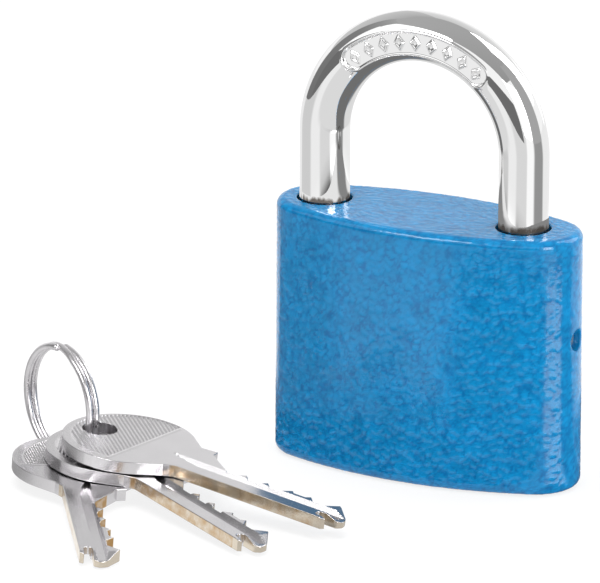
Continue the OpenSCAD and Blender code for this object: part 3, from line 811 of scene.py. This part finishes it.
def sheets_by_body():
    """Two glowing sheets just off the enamel that only a gloss sees, painted reflections of the
    body for the chrome and nickel near it to mirror: one over the top, dim in a sector that opens
    from the toe leg towards the heel leg, and one round the sides, tinted blue-grey, from near the
    bottom to near the top."""
    rings, count, off, gap = 26, 91, 0.12, 0.2
    ring, turn = np.meshgrid(
        np.linspace(0.02, 1, rings), np.linspace(0, 2 * np.pi, count), indexing="ij"
    )
    x, y = np.moveaxis(outline(turn, 1.0) * ring[..., None], -1, 0)
    # the painted reflection of the top is dim in a sector from the toe leg towards the heel leg
    away = x - LEGS_X[0]
    dark = soft_step(y + 0.21 * away, 0, 2) * soft_step(0.65 * away - y, 0, 2)
    points = np.stack([x, y, np.full(x.shape, BODY_H + off)], -1).reshape(-1, 3) * MM
    level = (0.85 - 0.6 * dark).ravel()
    faces = grid_faces(rings, count)[:, ::-1]
    stage_card("sheet_over_body", points, faces, level, 0.17, one_sided=True)
    foot = np.column_stack([outline(turn[0], -gap), np.full(count, 1.0)])
    points = np.concatenate([foot, foot + (0, 0, BODY_H - 2)]) * MM
    # blue-grey tint: painted reflection of the blue enamel
    stage_card(
        "sheet_round_body", points, grid_faces(2, count), 1.0, one_sided=True, tint="#5b7b98"
    )


sheets_by_body()

# ---- shackle ----

ROD_R, ARCH_R, ARCH_X, ARCH_Z = 4.0, 17.4, -1.0, 53.5
TOE_END, HEEL_END = 31.4, 8.2
BOLT_Z, NOTCH_R = 36.0, 2.2
PIN_LOW, PIN_HIGH, GROOVE_H = 11.85, 26.75, 3.9
CUT_TO = 2.0
PANEL_R, PANEL_HALF, PANEL_FROM, PANEL_TO = 17.05, 1.92, 51.8, 129.3
PANEL_FLOOR = 3.25
LOZENGES, END_ROOM = 9, 4


def panel(angle, out, front):
    """How far the rod comes forward in and round the sunk panel: a stadium along the arch with a
    soft wall, a low rounded rim outside it, and nine flat-topped lozenges inside."""
    middle = np.clip(angle, PANEL_FROM, PANEL_TO)
    along = np.radians(angle - middle) * PANEL_R
    off = ARCH_R + out - PANEL_R
    inside = PANEL_HALF - np.hypot(along, off)
    sunk = soft_step(inside, 0.16, 0.32)
    rim = 0.09 * np.exp(-(((inside + 0.12) / 0.14) ** 2))
    step = (PANEL_TO - PANEL_FROM + 2 * END_ROOM) / LOZENGES
    phase = (angle - PANEL_FROM + END_ROOM) / step
    beside = np.radians((phase - np.floor(phase) - 0.5) * step) * ARCH_R
    inner = 1 - np.abs(off) / 1.35 - np.abs(beside) / 0.95
    raised = (phase > 0) & (phase < LOZENGES)
    lozenge = raised * (0.36 * soft_step(inner, 0.12, 0.24) - 0.16 * soft_step(inner, 0.5, 0.3))
    return np.where(front > 0, front * (1 - sunk) + sunk * (PANEL_FLOOR + lozenge) + rim, front)


def make_shackle():
    """A round rod carried up the toe leg, over the half circle and down the heel leg: centre plus
    radius (cos t out + sin t forward). The cuts in the legs push the points in to flats; the foot
    of each leg has a one millimetre chamfer."""
    doubled = lambda *places: [p + d for p in places for d in (-0.01, 0.01)]
    notch = np.linspace(BOLT_Z - NOTCH_R, BOLT_Z + NOTCH_R, 26)
    toe = np.unique(np.concatenate([[TOE_END, TOE_END + 1], notch, np.linspace(39, ARCH_Z, 12)]))
    heel_stops = doubled(PIN_LOW, PIN_LOW + GROOVE_H, PIN_HIGH)
    heel = np.unique(
        np.concatenate([[HEEL_END, HEEL_END + 1], heel_stops, np.linspace(18, ARCH_Z, 24)])
    )
    angles = np.concatenate(
        [np.arange(179, 138, -1.5), np.arange(138, 45, -0.4), np.arange(45, 0, -1.5)]
    )
    t = np.radians(
        np.concatenate([np.arange(-168, 48, 8), np.arange(48, 132, 1.5), np.arange(132, 192, 8)])
    )
    place = np.concatenate([toe, np.full(len(angles), ARCH_Z), heel[::-1]])
    turn = np.concatenate([np.full(len(toe), 180.0), angles, np.zeros(len(heel))])
    x = ARCH_X + ARCH_R * np.cos(np.radians(turn))
    z = place + ARCH_R * np.sin(np.radians(turn))
    radius = np.full(len(place), ROD_R)
    radius[0] = radius[-1] = ROD_R - 1
    on_toe = np.arange(len(place)) < len(toe)
    on_heel = np.arange(len(place)) >= len(toe) + len(angles)
    in_groove = on_heel & (place > PIN_LOW) & (place < PIN_LOW + GROOVE_H)
    radius[in_groove] = CUT_TO
    out = radius[:, None] * np.cos(t)
    front = radius[:, None] * np.sin(t)
    shape = out.shape
    on_arch = panel(np.broadcast_to(turn[:, None], shape), out, front)
    front = np.where((on_toe | on_heel)[:, None], front, on_arch)
    notch_here = on_toe[:, None] & (np.hypot(front, (place - BOLT_Z)[:, None]) < NOTCH_R)
    out = np.where(notch_here, np.maximum(out, -CUT_TO), out)
    flat_here = (on_heel & (place > PIN_LOW) & (place < PIN_HIGH))[:, None]
    out = np.where(flat_here, np.minimum(out, CUT_TO), out)
    away = np.stack([np.cos(np.radians(turn)), 0 * turn, np.sin(np.radians(turn))], -1)
    rod = np.stack([x, 0 * x, z], -1)[:, None] + out[..., None] * away[:, None]
    rod[..., 1] = -front
    rows, columns = shape
    caps = [np.broadcast_to((x[i], 0, z[i]), (1, columns, 3)) for i in (0, -1)]
    rod = np.concatenate([caps[0], rod, caps[1]])
    parts = [(rod.reshape(-1, 3), grid_faces(rows + 2, columns, closed=True), 0.0)]
    return make_piece(
        "shackle_plated", parts, chrome, "shackle", ["shackle"], sharp=50
    )


make_shackle()

# ---- keys ----

BOW_R, BOW_OFF, HOLE_R = 10.7, 5.9, 2.8
KEY_T, KEY_REACH, STOP_U = 2.0, 48.5, 19.1
CUT_U = 25.8 + 4.2 * np.arange(5)
CUT_V = 4.6 - np.array([4, 4.05, 4.05, 3.3, 3.9])
CUT_HALF = 1.1
ROUND = 0.1
SLOT_V, SLOT_R, SLOT_U = -2.5, 0.72, 45.22
SLOT_OPENS_U = 47.88
FIELD_R, FIELD_TO_U, FIELD_DEEP, FIELD_EDGE = 9.75, 8.4, 0.1, 0.15
RIB_PITCH, CROSS_PITCH, RIB_H, RIB_TURN = 0.66, 0.56, 0.07, np.radians(39)
BORDER_R, BORDER_TO_U, BORDER_RISE, BORDER_FALL, BORDER_H = 10.1, 9.2, 0.35, 0.45, 0.065
GROOVE_FROM_U, GROOVE_RUN, GROOVE_DEEP, GROOVE_TOP_V = 13.9, 6.5, 0.85, 0.62
TIP_RUN = 2.5
UNDER_FROM_U, UNDER_DEEP, UNDER_LOW_V, UNDER_HIGH_V = 15.4, 0.7, -3.2, -2.0
BLADE_FROM_U, CUTS_FROM_U, NOSE_FROM_U = 17, 21.6, 45
NOSE_END = (46.84, -3.22)
KEYS = {
    "key_top": ((-43.48, -28.97, 8.17), (-1.15, 5.43, -10.2)),
    "key_middle": ((-45.53, -27.5, 6.0), (-1.91, 4.18, -29.1)),
    "key_bottom": ((-48.45, -27.43, 3.88), (-2.99, 2.07, -57.48)),
}


def inset_line(corners, by):
    """Moves a line of corners to its right by a distance, each corner along the mean of its two
    sides."""
    step = np.diff(corners, axis=0)
    side = np.stack([step[:, 1], -step[:, 0]], -1) / np.linalg.norm(step, axis=1)[:, None]
    before = np.concatenate([side[:1], side])
    after = np.concatenate([side, side[-1:]])
    return corners + by * (before + after) / (1 + (before * after).sum(1))[:, None]


def key_edges():
    """The cut edge and the plain edge of a key, each a line of corners from the bow's end to the
    tip: the bow's circle, the straight neck, the stop tab, five cuts with 45 degree flanks, the
    tip."""
    peak_u = (CUT_U[:-1] + CUT_U[1:] + np.diff(CUT_V)) / 2
    peak_v = CUT_V[:-1] + peak_u - CUT_U[:-1] - CUT_HALF
    floors = np.stack([np.stack([CUT_U + half, CUT_V], -1) for half in (-CUT_HALF, CUT_HALF)], 1)
    last_peak = (CUT_U[-1] + CUT_HALF + 2.5 - CUT_V[-1], 2.5)
    peaks = np.append(np.stack([peak_u, peak_v], -1), [last_peak], 0)
    teeth = np.concatenate([floors, peaks[:, None]], 1).reshape(-1, 2)
    far, near = np.radians(np.linspace(180, 52, 60)), np.radians(np.linspace(-180, -45, 60))
    cut_edge = np.concatenate(
        [
            np.stack([BOW_OFF + BOW_R * np.cos(far), BOW_R * np.sin(far)], -1),
            [(15.9, 5.7), (STOP_U, 6.1), (STOP_U, 4.6)],
            teeth,
            [(48.1, 0.5), (KEY_REACH, -0.3), (KEY_REACH, -0.6)],
        ]
    )
    plain_edge = np.concatenate(
        [
            np.stack([BOW_OFF + BOW_R * np.cos(near), BOW_R * np.sin(near)], -1),
            [(16.2, -4.9), (17.9, -3.9), (46.4, -3.9), (46.7, -3.4), NOSE_END],
        ]
    )
    return inset_line(cut_edge, ROUND), inset_line(plain_edge, -ROUND)


def key_relief(u, v, crossed):
    """Height of the upper face: a sunk field of cosine ribs on the bow, a low straight border with
    sloped sides next to it, the milled groove that runs out towards the bow in an arc, and the
    slope at the tip."""
    from_middle = np.hypot(u - BOW_OFF, v)
    round_side = np.clip((FIELD_R - np.hypot(u - BOW_OFF, v - 0.7)) / FIELD_EDGE, 0, 1)
    field = round_side * np.clip((FIELD_TO_U - u) / FIELD_EDGE, 0, 1)
    across = u * np.sin(RIB_TURN) + v * np.cos(RIB_TURN)
    along = u * np.cos(RIB_TURN) - v * np.sin(RIB_TURN)
    ribs = np.cos(2 * np.pi * across / RIB_PITCH)
    if crossed:
        ribs = 1.3 * np.cos(2 * np.pi * across / CROSS_PITCH)
        ribs = ribs * np.cos(2 * np.pi * along / CROSS_PITCH)
    height = field * (RIB_H * ribs - FIELD_DEEP)
    border = np.minimum((u - FIELD_TO_U) / BORDER_RISE, (BORDER_TO_U - u) / BORDER_FALL)
    border = np.clip(border, 0, 1) * np.clip((BORDER_R - from_middle) / 0.2, 0, 1)
    height = height + BORDER_H * border
    run = np.clip((u - GROOVE_FROM_U) / GROOVE_RUN, 0, 1)
    deep = GROOVE_DEEP * (1 - (1 - run) ** 2)
    near_side = GROOVE_TOP_V - 2.12 * run**0.8
    slanted = np.minimum(deep, 1.75 * np.clip(GROOVE_TOP_V - v, 0, None))
    groove = slanted * np.clip((v - near_side) / 0.35, 0, 1)
    height = height - groove
    tip = np.clip((u - (KEY_REACH - TIP_RUN)) / TIP_RUN, 0, 1)
    return np.where(tip > 0, np.minimum(height, -tip), height)


def make_key(name):
    """Upper and lower face on lines of constant u and v: the v lines are clamped to the key's
    edges, and lines near an opening are pushed to its rim, so that every edge is followed. The
    edges are joined by a wall with a small round at both sides, painted by how bare its brass
    is."""
    place, turn = KEYS[name]
    cut_edge, plain_edge = key_edges()
    last_u = KEY_REACH - ROUND
    hole = HOLE_R + ROUND
    slot = SLOT_R + ROUND
    nose = NOSE_END[0] - ROUND
    u = np.concatenate(
        [
            cut_edge[:, 0],
            plain_edge[:, 0],
            [STOP_U - ROUND + 0.002, nose, nose + 0.002, last_u],
            hole * np.cos(np.linspace(0, np.pi, 49)),
            SLOT_U - slot * np.cos(np.linspace(0, np.pi / 2, 12)),
            np.arange(-4.6, BLADE_FROM_U, 0.145),
            [FIELD_TO_U, 8.52, 8.75, BORDER_TO_U],
            np.arange(BLADE_FROM_U, last_u, 0.25),
        ]
    )
    u = np.unique(np.round(np.clip(u, -4.8 + ROUND, last_u), 3))
    v = np.concatenate([0.07 + 0.14 * np.arange(-76, 76), [-1.5, -1.15, 0.134, GROOVE_TOP_V, 0.68]])
    v = np.unique(np.round(v[np.abs(v - SLOT_V) > 0.04], 3))
    high = np.interp(u, cut_edge[:, 0], cut_edge[:, 1])
    low = np.interp(u, plain_edge[:, 0], plain_edge[:, 1])
    beyond = u > nose
    rows, columns = len(u), len(v)
    grid_u = np.broadcast_to(u[:, None], (rows, columns)).copy()
    grid_v = np.clip(v, low[:, None], high[:, None])

    m = np.searchsorted(v, 0.0)
    half = np.sqrt(np.maximum(hole**2 - u**2, 0))[:, None]
    open_hole = (np.abs(u) <= hole)[:, None]
    grid_v[:, :m] = np.where(open_hole, np.minimum(grid_v[:, :m], -half), grid_v[:, :m])
    grid_v[:, m:] = np.where(open_hole, np.maximum(grid_v[:, m:], half), grid_v[:, m:])

    s = np.searchsorted(v, SLOT_V)
    wide = np.sqrt(np.maximum(slot**2 - np.clip(SLOT_U - u, 0, None) ** 2, 0))
    in_slot = u >= SLOT_U - slot
    foot = np.interp(u, [SLOT_OPENS_U, 47.94, last_u], [SLOT_V + slot, -1.65, -0.88])
    top_rim = np.maximum(SLOT_V + wide, np.where(u > SLOT_OPENS_U, foot, -9))
    top_rim = np.where(in_slot, top_rim, -99)[:, None]
    low_rim = np.where(in_slot, SLOT_V - wide, 99)[:, None]
    grid_v[:, s:] = np.maximum(grid_v[:, s:], top_rim)
    grid_v[:, :s] = np.minimum(grid_v[:, :s], low_rim)
    grid_u[beyond, :s] = nose
    grid_v[beyond, :s] = SLOT_V - slot

    quads = grid_faces(rows, columns).reshape(rows - 1, columns - 1, 4)
    keep = np.ones((rows - 1, columns - 1), bool)
    keep[:, m - 1] = (u[:-1] < -hole - 1e-6) | (u[1:] > hole + 1e-6)
    keep[:, s - 1] = u[1:] <= SLOT_U - slot + 1e-3
    face = quads[keep]

    flat = np.stack([grid_u.ravel(), grid_v.ravel()], -1)
    upper = key_relief(flat[:, 0], flat[:, 1], name == "key_bottom")
    under_run = np.clip((flat[:, 0] - UNDER_FROM_U) / GROOVE_RUN, 0, 1)
    under = np.clip((flat[:, 1] - UNDER_LOW_V) / 0.1, 0, 1)
    under = under * np.clip((UNDER_HIGH_V - flat[:, 1]) / 0.1, 0, 1)
    lower = UNDER_DEEP * under * (1 - (1 - under_run) ** 2) - KEY_T
    lower = lower - key_relief(np.minimum(flat[:, 0], 13.5), flat[:, 1], name == "key_bottom")

    index = np.arange(rows * columns).reshape(rows, columns)
    first_slot = np.flatnonzero(in_slot)[0]
    outer = np.concatenate(
        [
            index[:, 0],
            index[first_slot:, s - 1][::-1],
            index[first_slot:, s],
            index[-1, s:],
            index[:, -1][::-1],
        ]
    )
    at_hole = np.flatnonzero(np.abs(u) <= hole + 1e-6)
    inner = np.concatenate([index[at_hole, m - 1][::-1], index[at_hole, m]])
    parts = [
        (np.column_stack([flat, upper]), face, 0.0),
        (np.column_stack([flat, lower]), face[:, ::-1], 0.0),
    ]
    for loop in (outer, inner):
        line = flat[loop]
        fresh = np.linalg.norm(line - np.roll(line, 1, axis=0), axis=1) > 1e-4
        loop, line = loop[fresh], line[fresh]
        step = np.roll(line, -1, axis=0) - line
        side = np.stack([step[:, 1], -step[:, 0]], -1) / np.linalg.norm(step, axis=1)[:, None]
        before = np.roll(side, 1, axis=0)
        out = (side + before) / np.maximum(1 + (side * before).sum(1), 0.5)[:, None]
        arc = np.linspace(0, np.pi / 2, 4)
        grow = np.concatenate([np.sin(arc), [1, 1], np.sin(arc[::-1])])[:, None, None] * ROUND
        drop = np.concatenate([1 - np.cos(arc), [1.4, 1.4], 1 - np.cos(arc[::-1])])[:, None] * ROUND
        above = np.arange(len(grow))[:, None] < len(grow) // 2
        level = np.where(above, upper[loop] - drop, lower[loop] + drop)
        wall = np.concatenate([line + grow * out, level[..., None]], -1)
        cut = (line[:, 0] > CUTS_FROM_U) & (line[:, 1] > -0.5)
        plain = (line[:, 0] > BLADE_FROM_U) & (line[:, 1] < -3)
        bare = np.where(cut, 1.0 if name == "key_bottom" else 0.35, 0.0)
        bare = np.where(plain, 0.7 if name == "key_middle" else 0.55, bare)
        bare = np.where(line[:, 0] > NOSE_FROM_U, 0.2, bare)
        middle = np.array([0, 0, 0.3, 1, 1, 1, 1, 0.3, 0, 0])[:, None]
        faces = grid_faces(len(grow), len(loop), closed=True)
        parts.append((wall.reshape(-1, 3), faces, (middle * bare).ravel()))
    roll, dip, heading = np.radians(turn)
    turned = Matrix.Rotation(heading, 3, "Z") @ Matrix.Rotation(dip, 3, "Y")
    turned = np.array(turned @ Matrix.Rotation(roll, 3, "X"))
    parts = [(points @ turned.T + place, faces, paint) for points, faces, paint in parts]
    return make_piece(name + "_plated", parts, key_nickel, name, [name], sharp=35)


for key in KEYS:
    make_key(key)

# ---- split ring ----


def make_ring():
    """Two turns of round wire side by side; the wire steps across near the top. Centre line: an
    upright circle whose sideways place goes from one turn to the other over a sixth of a turn."""
    middle, heading = np.array((-52.56, -24.58, 9.88)), np.radians(-29.43)
    radius, wire, turns_apart = 8.975, 0.575, 1.15 * 1.03
    steps, sides = 401, 16
    t = np.linspace(0.0, 2.0, steps)
    across = turns_apart * (np.clip((t - 0.92) / 0.16, 0, 1) - 0.5)
    angle = np.pi / 2 + 2 * np.pi * t
    out = np.stack([np.cos(angle), 0 * t, np.sin(angle)], -1)
    centre = radius * out + across[:, None] * (0, 1, 0)
    around_wire = np.linspace(0, 2 * np.pi, sides, endpoint=False)
    past = np.clip(np.abs(t - 1) - 0.995, 0, None) / 0.005
    size = wire * np.sqrt(np.clip(1 - past**2, 0.0, 1))
    section = np.cos(around_wire)[:, None] * out[:, None]
    section = section + np.sin(around_wire)[:, None] * np.array((0, 1, 0))
    ring = centre[:, None] + size[:, None, None] * section
    turned = np.array(Matrix.Rotation(heading, 3, "Z"))
    parts = [(ring.reshape(-1, 3) @ turned.T + middle, grid_faces(steps, sides, closed=True), 0.0)]
    return make_piece(
        "split_ring_wire", parts, ring_steel, "key_ring", ["split_ring"]
    )


make_ring()

bpy.context.scene.view_settings.view_transform = "Standard"
